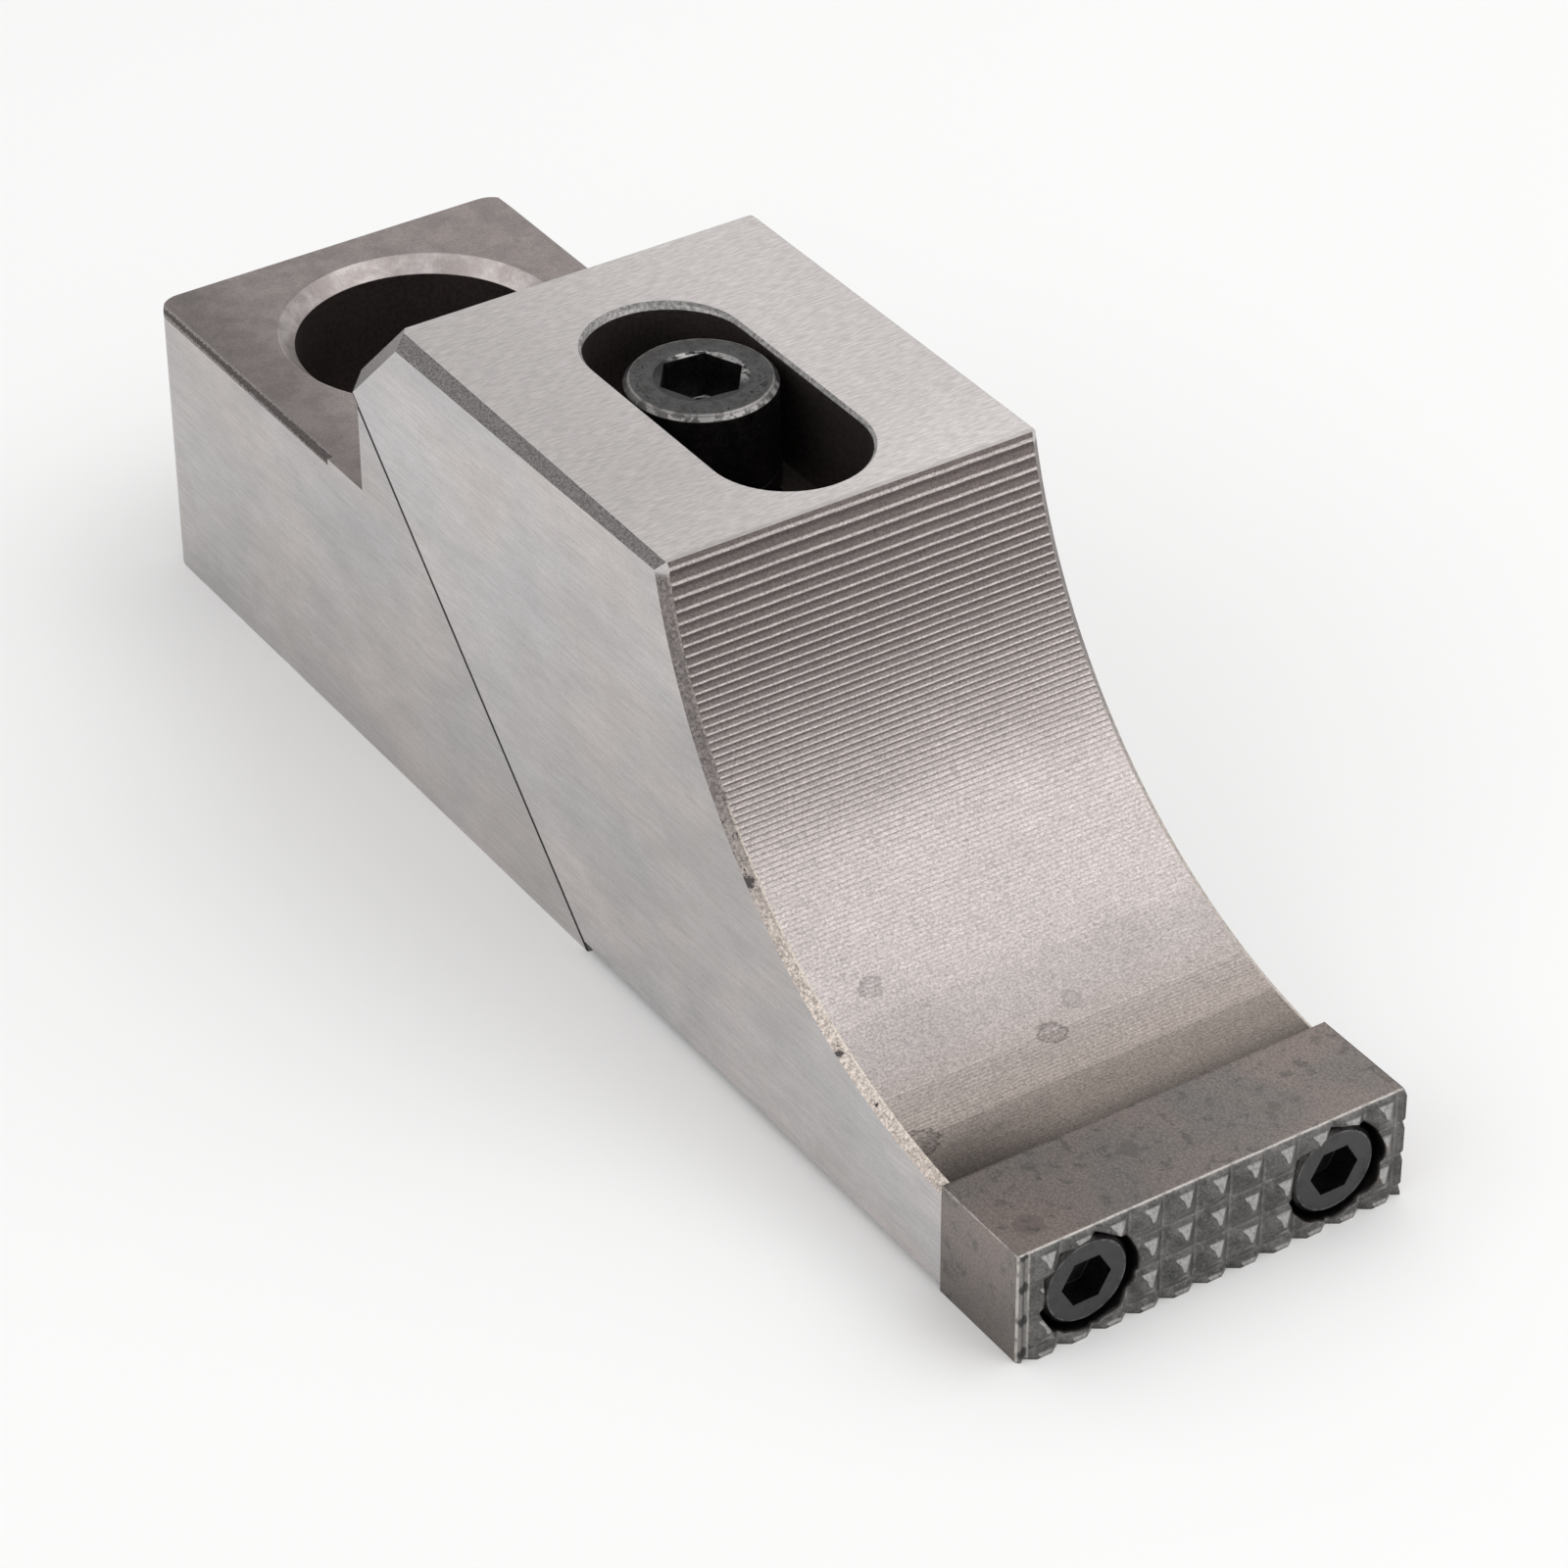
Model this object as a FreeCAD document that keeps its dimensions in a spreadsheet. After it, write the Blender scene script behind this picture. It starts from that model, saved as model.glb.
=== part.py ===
import FreeCAD
import Part
import Sketcher
import math
import os

# Wedge side clamp for a machining table, in millimetres.
# X runs forward to the workpiece, Y across the clamp, Z up from the table.
# The origin is on the axis of the hold-down hole, on the table face of the base.

doc = FreeCAD.newDocument("side_clamp")
sheet = doc.addObject("Spreadsheet::Sheet", "Sizes")

SIZES = {
    # whole clamp
    "body_width": 45,
    "wedge_angle": 45,
    "slide_gap": 0.05,
    # base block
    "base_length": 91,
    "hole_to_rear": 21,
    "plateau_height": 33.5,
    "peak_height": 44,
    "base_corner_radius": 3,
    "base_edge_break": 0.8,
    "edge_break_stop": 7.5,
    "ramp_edge_break": 0.15,
    "hold_down_bore": 28.5,
    "hold_down_bore_depth": 19,
    "hold_down_bore_chamfer": 1.7,
    "hold_down_hole": 17.5,
    # jaw block
    "jaw_rise": 12.5,
    "jaw_underside": 1,
    "jaw_overhang": 2.5,
    "jaw_rear_chamfer": 2,
    "jaw_rear_chamfer_far": 0.8,
    "jaw_bevel_rear": 1.45,
    "jaw_bevel_front": 0.75,
    "jaw_far_bevel": 0.6,
    "seat_reach": 64.5,
    "front_radius": 56.2,
    "front_centre_height": 68.8,
    "front_centre_past_seat": 6,
    "front_edge_break": 1.0,
    "mill_stepover": 0.4,
    "mill_tool_radius": 3,
    "mill_passes": 48,
    # clamp screw, washer and their slot
    "screw_to_nose": 12,
    "screw_size": 10,
    "screw_tip_height": 1.2,
    "screw_head_width": 16,
    "screw_head_height": 10,
    "screw_head_sink": 0.3,
    "screw_head_rim": 0.6,
    "screw_tip_chamfer": 0.8,
    "screw_socket": 8,
    "screw_socket_depth": 5,
    "screw_socket_turn": 23,
    "slot_head_clearance": 0.6,
    "slot_shank_clearance": 0.5,
    "slot_behind": 6.85,
    "slot_ahead": 16.05,
    "slot_edge_break": 0.3,
    "washer_width": 16.4,
    "washer_hole": 10.5,
    "washer_thickness": 2,
    "thread_clearance": 0.03,
    # gripper insert
    "insert_thickness": 13.7,
    "insert_height": 13,
    "insert_far_overhang": 0.7,
    "tooth_pitch": 4,
    "tooth_flat": 0.5,
    "tooth_row_depth": 1,
    "tooth_column_depth": 1.2,
    "tooth_row_height": 1,
    "tooth_side_margin": 0.8,
    # insert screws
    "insert_screw_from_end": 8.1,
    "insert_screw_height": 6.4,
    "insert_screw_size": 6,
    "insert_screw_length": 16,
    "insert_head_width": 10,
    "insert_head_height": 6,
    "insert_head_sink": 1.2,
    "insert_head_rim": 0.4,
    "insert_screw_tip_chamfer": 0.5,
    "insert_socket": 5,
    "insert_socket_depth": 3,
    "counterbore_clearance": 0.7,
    "insert_hole_clearance": 0.3,
}

for row, (alias, number) in enumerate(SIZES.items(), start=1):
    sheet.set(f"A{row}", alias)
    sheet.set(f"B{row}", str(number))
    sheet.setAlias(f"B{row}", alias)
doc.recompute()

# Places worked out from the sheet, as expressions

REAR = "(-Sizes.hole_to_rear)"
NOSE = "(Sizes.base_length - Sizes.hole_to_rear)"
ANGLE = "(Sizes.wedge_angle * 1deg)"
STEP = f"({NOSE} - Sizes.peak_height / tan({ANGLE}))"
NEAR = "(-Sizes.body_width / 2)"
FAR = "(Sizes.body_width / 2)"

JAW_FOOT = f"({NOSE} + Sizes.slide_gap / sin({ANGLE}))"
JAW_TOP = "(Sizes.peak_height + Sizes.jaw_rise)"
JAW_CORNER_Z = "(Sizes.peak_height + Sizes.jaw_overhang)"
JAW_CORNER_X = f"({JAW_FOOT} - {JAW_CORNER_Z} / tan({ANGLE}))"
JAW_TOP_REAR = f"({JAW_CORNER_X} + ({JAW_TOP} - {JAW_CORNER_Z}) * tan({ANGLE}))"
SEAT = f"({NOSE} + Sizes.seat_reach)"
FRONT = f"({SEAT} + Sizes.insert_thickness)"
ARC_X = f"({SEAT} + Sizes.front_centre_past_seat)"

SCREW_X = f"({NOSE} - Sizes.screw_to_nose)"
SLOT_REAR = f"({SCREW_X} - Sizes.slot_behind)"
SLOT_FRONT = f"({SCREW_X} + Sizes.slot_ahead)"
SLOT_RADIUS = "(Sizes.screw_head_width / 2 + Sizes.slot_head_clearance)"
SHANK_SLOT_RADIUS = "(Sizes.screw_size / 2 + Sizes.slot_shank_clearance)"
HEAD_TOP = f"({JAW_TOP} - Sizes.screw_head_sink)"
HEAD_SEAT = f"({HEAD_TOP} - Sizes.screw_head_height)"
SCREW_LENGTH = f"({HEAD_SEAT} - Sizes.screw_tip_height)"
SLOT_FLOOR = f"({HEAD_SEAT} - Sizes.washer_thickness - 2 * Sizes.slide_gap)"

INSERT_FAR_END = "(Sizes.body_width / 2 + Sizes.insert_far_overhang)"
INSERT_SCREW_NEAR = f"({NEAR} + Sizes.insert_screw_from_end)"
INSERT_SCREW_FAR = f"({INSERT_FAR_END} - Sizes.insert_screw_from_end)"
INSERT_SCREW_Z = "Sizes.insert_screw_height"
INSERT_HEAD_FACE = f"({FRONT} - Sizes.insert_head_sink)"
COUNTERBORE_FLOOR = f"({INSERT_HEAD_FACE} - Sizes.insert_head_height)"
SCREW_TIP_ROOM = 1.0
CUT_MARGIN = 1.0


def value(expression):
    """The number that an expression of the sheet's sizes gives."""
    result = sheet.evalExpression(expression)
    return float(getattr(result, "Value", result))


# Helpers for sketches

def new_body(name):
    body = doc.addObject("PartDesign::Body", name)
    body.Label = name
    return body


def new_sketch(body, name, role, offset="0"):
    """A sketch on one of the body's origin planes, moved along the plane's normal."""
    sketch = body.newObject("Sketcher::SketchObject", name)
    plane = next(item for item in body.Origin.OriginFeatures if item.Role == role)
    sketch.AttachmentSupport = [(plane, "")]
    sketch.MapMode = "FlatFace"
    sketch.setExpression("AttachmentOffset.Base.z", offset)
    return sketch


def fix_point(sketch, geometry, end, across, up):
    """Ties a point to the sketch's origin by two expressions."""
    for kind, expression in (("DistanceX", across), ("DistanceY", up)):
        start = value(expression)
        index = sketch.addConstraint(Sketcher.Constraint(kind, -1, 1, geometry, end, start))
        sketch.setExpression(f"Constraints[{index}]", expression)


def add_outline(sketch, corners):
    """A closed outline of straight lines through corners given as expressions."""
    points = [FreeCAD.Vector(value(across), value(up), 0) for across, up in corners]
    first = sketch.GeometryCount
    count = len(points)
    for index, point in enumerate(points):
        sketch.addGeometry(Part.LineSegment(point, points[(index + 1) % count]), False)
    for index in range(count):
        after = first + (index + 1) % count
        sketch.addConstraint(Sketcher.Constraint("Coincident", first + index, 2, after, 1))
    for index, (across, up) in enumerate(corners):
        fix_point(sketch, first + index, 1, across, up)


def add_circle(sketch, across, up, radius):
    centre = FreeCAD.Vector(value(across), value(up), 0)
    normal = FreeCAD.Vector(0, 0, 1)
    geometry = sketch.addGeometry(Part.Circle(centre, normal, value(radius)), False)
    fix_point(sketch, geometry, 3, across, up)
    index = sketch.addConstraint(Sketcher.Constraint("Radius", geometry, value(radius)))
    sketch.setExpression(f"Constraints[{index}]", radius)


def add_slot(sketch, start, end, radius):
    """A slot along the sketch's first axis, between two round ends."""
    reach = value(radius)
    left = FreeCAD.Vector(value(start), 0, 0)
    right = FreeCAD.Vector(value(end), 0, 0)
    up = FreeCAD.Vector(0, reach, 0)
    normal = FreeCAD.Vector(0, 0, 1)
    quarter = math.pi / 2
    first = sketch.GeometryCount
    sketch.addGeometry([
        Part.ArcOfCircle(Part.Circle(left, normal, reach), quarter, 3 * quarter),
        Part.LineSegment(left - up, right - up),
        Part.ArcOfCircle(Part.Circle(right, normal, reach), -quarter, quarter),
        Part.LineSegment(right + up, left + up),
    ], False)
    for index, other, ends in ((0, 1, (2, 1)), (1, 2, (2, 1)), (2, 3, (2, 1)), (3, 0, (2, 1))):
        pair = (first + index, ends[0], first + other, ends[1])
        sketch.addConstraint(Sketcher.Constraint("Tangent", *pair))
    fix_point(sketch, first, 3, start, "0")
    fix_point(sketch, first + 2, 3, end, "0")
    index = sketch.addConstraint(Sketcher.Constraint("Radius", first, reach))
    sketch.setExpression(f"Constraints[{index}]", radius)


def add_hexagon(sketch, across, up, flats, turn):
    """A hexagon given by its width across flats and the turn of its first corner."""
    corners = []
    for index in range(6):
        angle = f"({turn} + {60 * index}) * 1deg"
        corner = f"{flats} / 2 / cos(30deg)"
        corners.append((f"{across} + {corner} * cos({angle})", f"{up} + {corner} * sin({angle})"))
    add_outline(sketch, corners)


def pad_across(body, name, sketch, width):
    """A pad that grows evenly to both sides of its sketch."""
    pad = body.newObject("PartDesign::Pad", name)
    pad.Profile = sketch
    pad.SideType = "Symmetric"
    pad.setExpression("Length", width)
    return pad


def pocket(body, name, sketch, depth=None, both_sides=False, backwards=False):
    """A pocket that must take material away; with no depth it goes right through."""
    doc.recompute()
    before = body.Shape.Volume
    cut = body.newObject("PartDesign::Pocket", name)
    cut.Profile = sketch
    cut.Type = "Length" if depth else "ThroughAll"
    if depth:
        cut.setExpression("Length", depth)
    if both_sides:
        cut.SideType = "Symmetric"
    cut.Reversed = backwards
    doc.recompute()
    if body.Shape.Volume >= before:
        raise ValueError(f"{name} takes nothing away")
    return cut


def edges_where(shape, test):
    """The names of the edges whose two end points both pass a test."""
    names = []
    for index, edge in enumerate(shape.Edges, start=1):
        ends = [vertex.Point for vertex in edge.Vertexes]
        if len(ends) == 2 and all(test(point) for point in ends):
            names.append(f"Edge{index}")
    return names


def near_to(first, second):
    return abs(first - second) < 0.01


# Base block: wedge, low rear table, hold-down hole and tapped hole

def make_base():
    body = new_body("base_block")
    profile = new_sketch(body, "base_profile", "XZ_Plane")
    add_outline(profile, [
        (REAR, "0"),
        (NOSE, "0"),
        (STEP, "Sizes.peak_height"),
        (STEP, "Sizes.plateau_height"),
        (REAR, "Sizes.plateau_height"),
    ])
    block = pad_across(body, "base_wedge", profile, "Sizes.body_width")
    doc.recompute()

    corners = body.newObject("PartDesign::Fillet", "base_rear_corners")
    upright = edges_where(block.Shape, lambda point: near_to(point.x, value(REAR)))
    upright = [name for name in upright if near_to(block.Shape.getElement(name).Length,
                                                   value("Sizes.plateau_height"))]
    corners.Base = (block, upright)
    corners.setExpression("Radius", "Sizes.base_corner_radius")
    doc.recompute()

    # The side edges of the ramp, from its foot to its peak
    ramp = body.newObject("PartDesign::Chamfer", "ramp_edge_breaks")
    sloping = []
    for side in (NEAR, FAR):
        sloping += edges_where(corners.Shape, lambda point: near_to(point.y, value(side))
                               and (near_to(point.x, value(NOSE))
                                    or near_to(point.z, value("Sizes.peak_height"))))
    sloping = [name for name in sloping if corners.Shape.getElement(name).Length
               > value("Sizes.peak_height")]
    ramp.Base = (corners, sloping)
    ramp.setExpression("Size", "Sizes.ramp_edge_break")
    doc.recompute()

    # The broken edges of the rear table stop short of the step
    strip = new_sketch(body, "base_edge_strip", "YZ_Plane", f"{STEP} - Sizes.edge_break_stop")
    for side in ("-1", "1"):
        edge = f"{side} * Sizes.body_width / 2"
        inside = f"{side} * (Sizes.body_width / 2 - Sizes.base_edge_break)"
        outside = f"{side} * (Sizes.body_width / 2 + Sizes.base_edge_break)"
        add_outline(strip, [
            (edge, "Sizes.plateau_height - Sizes.base_edge_break"),
            (outside, "Sizes.plateau_height"),
            (edge, "Sizes.plateau_height + Sizes.base_edge_break"),
            (inside, "Sizes.plateau_height"),
        ])
    pocket(body, "base_edge_breaks", strip, "Sizes.base_length")

    # Stepped hole for the bolt that holds the clamp to the table
    hole = new_sketch(body, "hold_down_profile", "XZ_Plane")
    bore = "Sizes.hold_down_bore / 2"
    floor = "Sizes.plateau_height - Sizes.hold_down_bore_depth"
    mouth = f"{bore} + Sizes.hold_down_bore_chamfer"
    add_outline(hole, [
        ("0", f"-{CUT_MARGIN}"),
        ("Sizes.hold_down_hole / 2", f"-{CUT_MARGIN}"),
        ("Sizes.hold_down_hole / 2", floor),
        (bore, floor),
        (bore, "Sizes.plateau_height - Sizes.hold_down_bore_chamfer"),
        (mouth, "Sizes.plateau_height"),
        (mouth, f"Sizes.plateau_height + {CUT_MARGIN}"),
        ("0", f"Sizes.plateau_height + {CUT_MARGIN}"),
    ])
    before = body.Shape.Volume
    groove = body.newObject("PartDesign::Groove", "hold_down_hole")
    groove.Profile = hole
    groove.ReferenceAxis = (hole, ["V_Axis"])
    groove.Angle = 360
    doc.recompute()
    if body.Shape.Volume >= before:
        raise ValueError("the hold-down hole takes nothing away")

    tapped = new_sketch(body, "clamp_thread_circle", "XY_Plane")
    add_circle(tapped, SCREW_X, "0", "Sizes.screw_size / 2 + Sizes.thread_clearance")
    pocket(body, "clamp_thread", tapped, backwards=True)
    return body


# Jaw block: slides on the wedge, with a milled concave front

def make_jaw_blank():
    body = new_body("jaw_blank")
    profile = new_sketch(body, "jaw_profile", "XZ_Plane")
    underside_x = f"{JAW_FOOT} - Sizes.jaw_underside / tan({ANGLE})"
    add_outline(profile, [
        (underside_x, "Sizes.jaw_underside"),
        (SEAT, "Sizes.jaw_underside"),
        (SEAT, "Sizes.insert_height"),
        (f"{NOSE} + Sizes.seat_reach / 2", JAW_TOP),
        (JAW_TOP_REAR, JAW_TOP),
        (JAW_CORNER_X, JAW_CORNER_Z),
    ])
    block = pad_across(body, "jaw_wedge", profile, "Sizes.body_width")
    doc.recompute()

    # The side edges of the sloping rear face
    for label, side, size in (("near", NEAR, "Sizes.jaw_rear_chamfer"),
                              ("far", FAR, "Sizes.jaw_rear_chamfer_far")):
        chamfer = body.newObject("PartDesign::Chamfer", f"jaw_rear_chamfer_{label}")
        rear = edges_where(block.Shape, lambda point: near_to(point.y, value(side))
                           and point.x < value(JAW_TOP_REAR) + CUT_MARGIN
                           and point.z > value(JAW_CORNER_Z) - CUT_MARGIN)
        chamfer.Base = (block, rear)
        chamfer.setExpression("Size", size)
        doc.recompute()
        block = chamfer

    # Long bevels on the top edges; the near one narrows towards the front
    for label, side, rear_size, front_size in (
            ("near", "-1", "Sizes.jaw_bevel_rear", "Sizes.jaw_bevel_front"),
            ("far", "1", "Sizes.jaw_far_bevel", "Sizes.jaw_far_bevel")):
        ends = []
        for end, place, size in (("rear", f"{JAW_TOP_REAR} - {CUT_MARGIN}", rear_size),
                                 ("front", f"{NOSE} + Sizes.seat_reach / 2 + {CUT_MARGIN}", front_size)):
            section = new_sketch(body, f"jaw_bevel_{label}_{end}", "YZ_Plane", place)
            add_outline(section, [
                (f"{side} * (Sizes.body_width / 2 - {size})", JAW_TOP),
                (f"{side} * Sizes.body_width / 2", f"{JAW_TOP} - {size}"),
                (f"{side} * (Sizes.body_width / 2 + {size})", JAW_TOP),
                (f"{side} * Sizes.body_width / 2", f"{JAW_TOP} + {size}"),
            ])
            ends.append(section)
        before = body.Shape.Volume
        bevel = body.newObject("PartDesign::SubtractiveLoft", f"jaw_bevel_{label}")
        bevel.Profile = ends[0]
        bevel.Sections = [ends[1]]
        bevel.Ruled = True
        doc.recompute()
        if body.Shape.Volume >= before:
            raise ValueError(f"the {label} bevel takes nothing away")

    # Slot for the screw head, with a narrower slot for its shank
    head_slot = new_sketch(body, "head_slot_outline", "XY_Plane", JAW_TOP)
    add_slot(head_slot, SLOT_REAR, SLOT_FRONT, SLOT_RADIUS)
    pocket(body, "head_slot", head_slot, f"{JAW_TOP} - {SLOT_FLOOR}")
    shank_slot = new_sketch(body, "shank_slot_outline", "XY_Plane", JAW_TOP)
    add_slot(shank_slot, SLOT_REAR, SLOT_FRONT, SHANK_SLOT_RADIUS)
    slotted = pocket(body, "shank_slot", shank_slot)
    slot_reach = value(SLOT_RADIUS) + CUT_MARGIN
    rim_edges = edges_where(slotted.Shape, lambda point: near_to(point.z, value(JAW_TOP))
                            and abs(point.y) < slot_reach)
    rim = body.newObject("PartDesign::Chamfer", "head_slot_edge_break")
    rim.Base = (slotted, rim_edges)
    rim.setExpression("Size", "Sizes.slot_edge_break")
    doc.recompute()

    # Tapped holes for the insert screws, in from the seat
    tapped = new_sketch(body, "insert_thread_circles", "YZ_Plane", SEAT)
    for across in (INSERT_SCREW_NEAR, INSERT_SCREW_FAR):
        add_circle(tapped, across, INSERT_SCREW_Z,
                   "Sizes.insert_screw_size / 2 + Sizes.thread_clearance")
    reach_in = f"Sizes.insert_screw_length - ({COUNTERBORE_FLOOR} - {SEAT}) + {SCREW_TIP_ROOM}"
    pocket(body, "insert_threads", tapped, reach_in)
    return body


def milling_sweep():
    """The room swept by a round tool that steps down the concave front of the jaw."""
    centre_x = value(ARC_X)
    centre_z = value("Sizes.front_centre_height")
    radius = value("Sizes.front_radius")
    tool = value("Sizes.mill_tool_radius")
    stepover = value("Sizes.mill_stepover")
    passes = round(value("Sizes.mill_passes"))
    tool_path = radius - tool
    half_width = value(FAR) + CUT_MARGIN

    def at(angle, reach):
        """A point at an angle below the rearward direction from the arc's centre."""
        return FreeCAD.Vector(centre_x - reach * math.cos(angle), -half_width,
                              centre_z - reach * math.sin(angle))

    # Angle of each pass, at even steps along X from the top edge
    top_angle = math.asin((centre_z - value(JAW_TOP)) / radius)
    top_reach = radius * math.cos(top_angle)
    angles = [math.acos((top_reach - stepover * index) / radius) for index in range(passes)]

    # Neighbouring passes meet in a low ridge
    ridges = []
    for before, after in zip(angles, angles[1:]):
        half = (after - before) / 2
        reach = tool_path * math.cos(half) + math.sqrt(tool ** 2 - (tool_path * math.sin(half)) ** 2)
        ridges.append(at((before + after) / 2, reach))

    edges = []
    start = at(2 * angles[0] - angles[1], radius)
    for angle, ridge in zip(angles, ridges):
        edges.append(Part.Arc(start, at(angle, radius), ridge).toShape())
        start = ridge
    # Below the last ridge the cut is one smooth arc, past the seat
    last = at(angles[-1], radius)
    seat_angle = math.acos((centre_x - value(SEAT)) / radius)
    end = at(seat_angle + math.radians(3), radius)
    edges.append(Part.LineSegment(start, last).toShape())
    edges.append(Part.Arc(last, at((angles[-1] + seat_angle) / 2, radius), end).toShape())
    above = FreeCAD.Vector(end.x, end.y, centre_z)
    behind = FreeCAD.Vector(edges[0].Vertexes[0].Point.x, end.y, centre_z)
    edges.append(Part.LineSegment(end, above).toShape())
    edges.append(Part.LineSegment(above, behind).toShape())
    edges.append(Part.LineSegment(behind, edges[0].Vertexes[0].Point).toShape())
    face = Part.Face(Part.Wire(edges))
    sweep = doc.addObject("Part::Feature", "milling_sweep")
    sweep.Shape = face.extrude(FreeCAD.Vector(0, 2 * half_width, 0))
    return sweep


def make_jaw():
    blank = make_jaw_blank()
    milled = doc.addObject("Part::Cut", "jaw_milled")
    milled.Base = blank
    milled.Tool = milling_sweep()

    # Cones break the two curved edges of the front
    shaped = milled
    for label, side, turn in (("near", "-1", -90), ("far", "1", 90)):
        cone = doc.addObject("Part::Cone", f"front_edge_cone_{label}")
        cone.setExpression("Radius1", "Sizes.front_radius - Sizes.front_edge_break")
        cone.setExpression("Radius2", "Sizes.front_radius + 2 * Sizes.front_edge_break")
        cone.setExpression("Height", "3 * Sizes.front_edge_break")
        cone.Placement.Rotation = FreeCAD.Rotation(FreeCAD.Vector(1, 0, 0), -turn)
        cone.setExpression("Placement.Base.x", ARC_X)
        cone.setExpression("Placement.Base.y",
                           f"{side} * (Sizes.body_width / 2 - 2 * Sizes.front_edge_break)")
        cone.setExpression("Placement.Base.z", "Sizes.front_centre_height")
        name = "jaw_block" if label == "far" else "jaw_near_edge_broken"
        cut = doc.addObject("Part::Cut", name)
        cut.Base = shaped
        cut.Tool = cone
        shaped = cut
    shaped.Label = "jaw_block"
    return shaped


# Gripper insert: bar with pyramid teeth and two counterbored holes

def make_insert():
    body = new_body("gripper_insert")
    profile = new_sketch(body, "insert_profile", "XZ_Plane", "-Sizes.insert_far_overhang / 2")
    add_outline(profile, [
        (SEAT, "0"),
        (FRONT, "0"),
        (FRONT, "Sizes.insert_height"),
        (SEAT, "Sizes.insert_height"),
    ])
    bar = pad_across(body, "insert_bar", profile, "Sizes.body_width + Sizes.insert_far_overhang")
    doc.recompute()

    # The front slopes back along its top and near edges, as deep as the upright grooves
    slopes = body.newObject("PartDesign::Chamfer", "insert_front_slopes")
    outer_edges = []
    for reached in (lambda point: near_to(point.z, value("Sizes.insert_height")),
                    lambda point: near_to(point.y, value(NEAR))):
        outer_edges += edges_where(bar.Shape, lambda point: near_to(point.x, value(FRONT))
                                   and reached(point))
    slopes.Base = (bar, outer_edges)
    slopes.setExpression("Size", "Sizes.tooth_column_depth")

    # One groove along the bar and one up it, each repeated at the tooth pitch
    half_groove = "(Sizes.tooth_pitch - Sizes.tooth_flat) / 2"
    outer = f"{FRONT} + {CUT_MARGIN}"
    first_column = f"({INSERT_FAR_END} - Sizes.tooth_side_margin)"
    rows = math.floor((value("Sizes.insert_height") - value("Sizes.tooth_row_height"))
                      / value("Sizes.tooth_pitch")) + 1
    columns = math.floor((value(first_column) - value(NEAR))
                         / value("Sizes.tooth_pitch")) + 1
    for label, role, place, axis, count, backwards in (
            ("row", "XZ_Plane", "Sizes.tooth_row_height", "Z_Axis", rows, False),
            ("column", "XY_Plane", first_column, "Y_Axis", columns, True)):
        groove = new_sketch(body, f"tooth_{label}_groove", role)
        depth = f"Sizes.tooth_{label}_depth"
        half_mouth = f"({half_groove} * (1 + {CUT_MARGIN} / {depth}))"
        add_outline(groove, [
            (f"{FRONT} - {depth}", place),
            (outer, f"{place} - {half_mouth}"),
            (outer, f"{place} + {half_mouth}"),
        ])
        reach = "2 * (Sizes.body_width + Sizes.insert_height)"
        cut = pocket(body, f"tooth_{label}_cut", groove, reach, both_sides=True)
        pattern = body.newObject("PartDesign::LinearPattern", f"tooth_{label}s")
        pattern.Originals = [cut]
        line = next(item for item in body.Origin.OriginFeatures if item.Role == axis)
        pattern.Direction = (line, [""])
        pattern.Reversed = backwards
        pattern.setExpression("Length", f"{count - 1} * Sizes.tooth_pitch")
        pattern.Occurrences = count
        body.Tip = pattern
        doc.recompute()

    for label, radius, depth in (
            ("counterbore", "Sizes.insert_head_width / 2 + Sizes.counterbore_clearance",
             f"{FRONT} - {COUNTERBORE_FLOOR}"),
            ("clearance_hole", "Sizes.insert_screw_size / 2 + Sizes.insert_hole_clearance", None)):
        circles = new_sketch(body, f"{label}_circles", "YZ_Plane", FRONT)
        for across in (INSERT_SCREW_NEAR, INSERT_SCREW_FAR):
            add_circle(circles, across, INSERT_SCREW_Z, radius)
        pocket(body, label, circles, depth)
    return body


# Socket head screws and the washer

def make_screw(name, prefix, head, length, placement, turn):
    """A socket head screw along +Z, with the underside of its head at its own origin."""
    body = new_body(name)
    size = f"Sizes.{prefix}_size"
    head_radius = f"Sizes.{head}_width / 2"
    head_height = f"Sizes.{head}_height"
    rim = f"Sizes.{head}_rim"
    tip = f"Sizes.{prefix}_tip_chamfer"
    profile = new_sketch(body, f"{name}_profile", "XZ_Plane")
    add_outline(profile, [
        ("0", f"-{length}"),
        (f"{size} / 2 - {tip}", f"-{length}"),
        (f"{size} / 2", f"-{length} + {tip}"),
        (f"{size} / 2", "0"),
        (head_radius, "0"),
        (head_radius, f"{head_height} - {rim}"),
        (f"{head_radius} - {rim}", head_height),
        ("0", head_height),
    ])
    turned = body.newObject("PartDesign::Revolution", f"{name}_turned")
    turned.Profile = profile
    turned.ReferenceAxis = (profile, ["V_Axis"])
    turned.Angle = 360

    socket = new_sketch(body, f"{name}_socket_outline", "XY_Plane", head_height)
    socket_size = "Sizes.screw_socket" if prefix == "screw" else "Sizes.insert_socket"
    add_hexagon(socket, "0", "0", socket_size, turn)
    pocket(body, f"{name}_socket", socket, f"{socket_size}_depth")
    body.Placement.Rotation = placement["rotation"]
    for axis in "xyz":
        body.setExpression(f"Placement.Base.{axis}", placement[axis])
    return body


def make_clamp_screw():
    upright = FreeCAD.Rotation()
    placement = {"rotation": upright, "x": SCREW_X, "y": "0", "z": HEAD_SEAT}
    return make_screw("clamp_screw", "screw", "screw_head", SCREW_LENGTH, placement,
                      "Sizes.screw_socket_turn")


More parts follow.
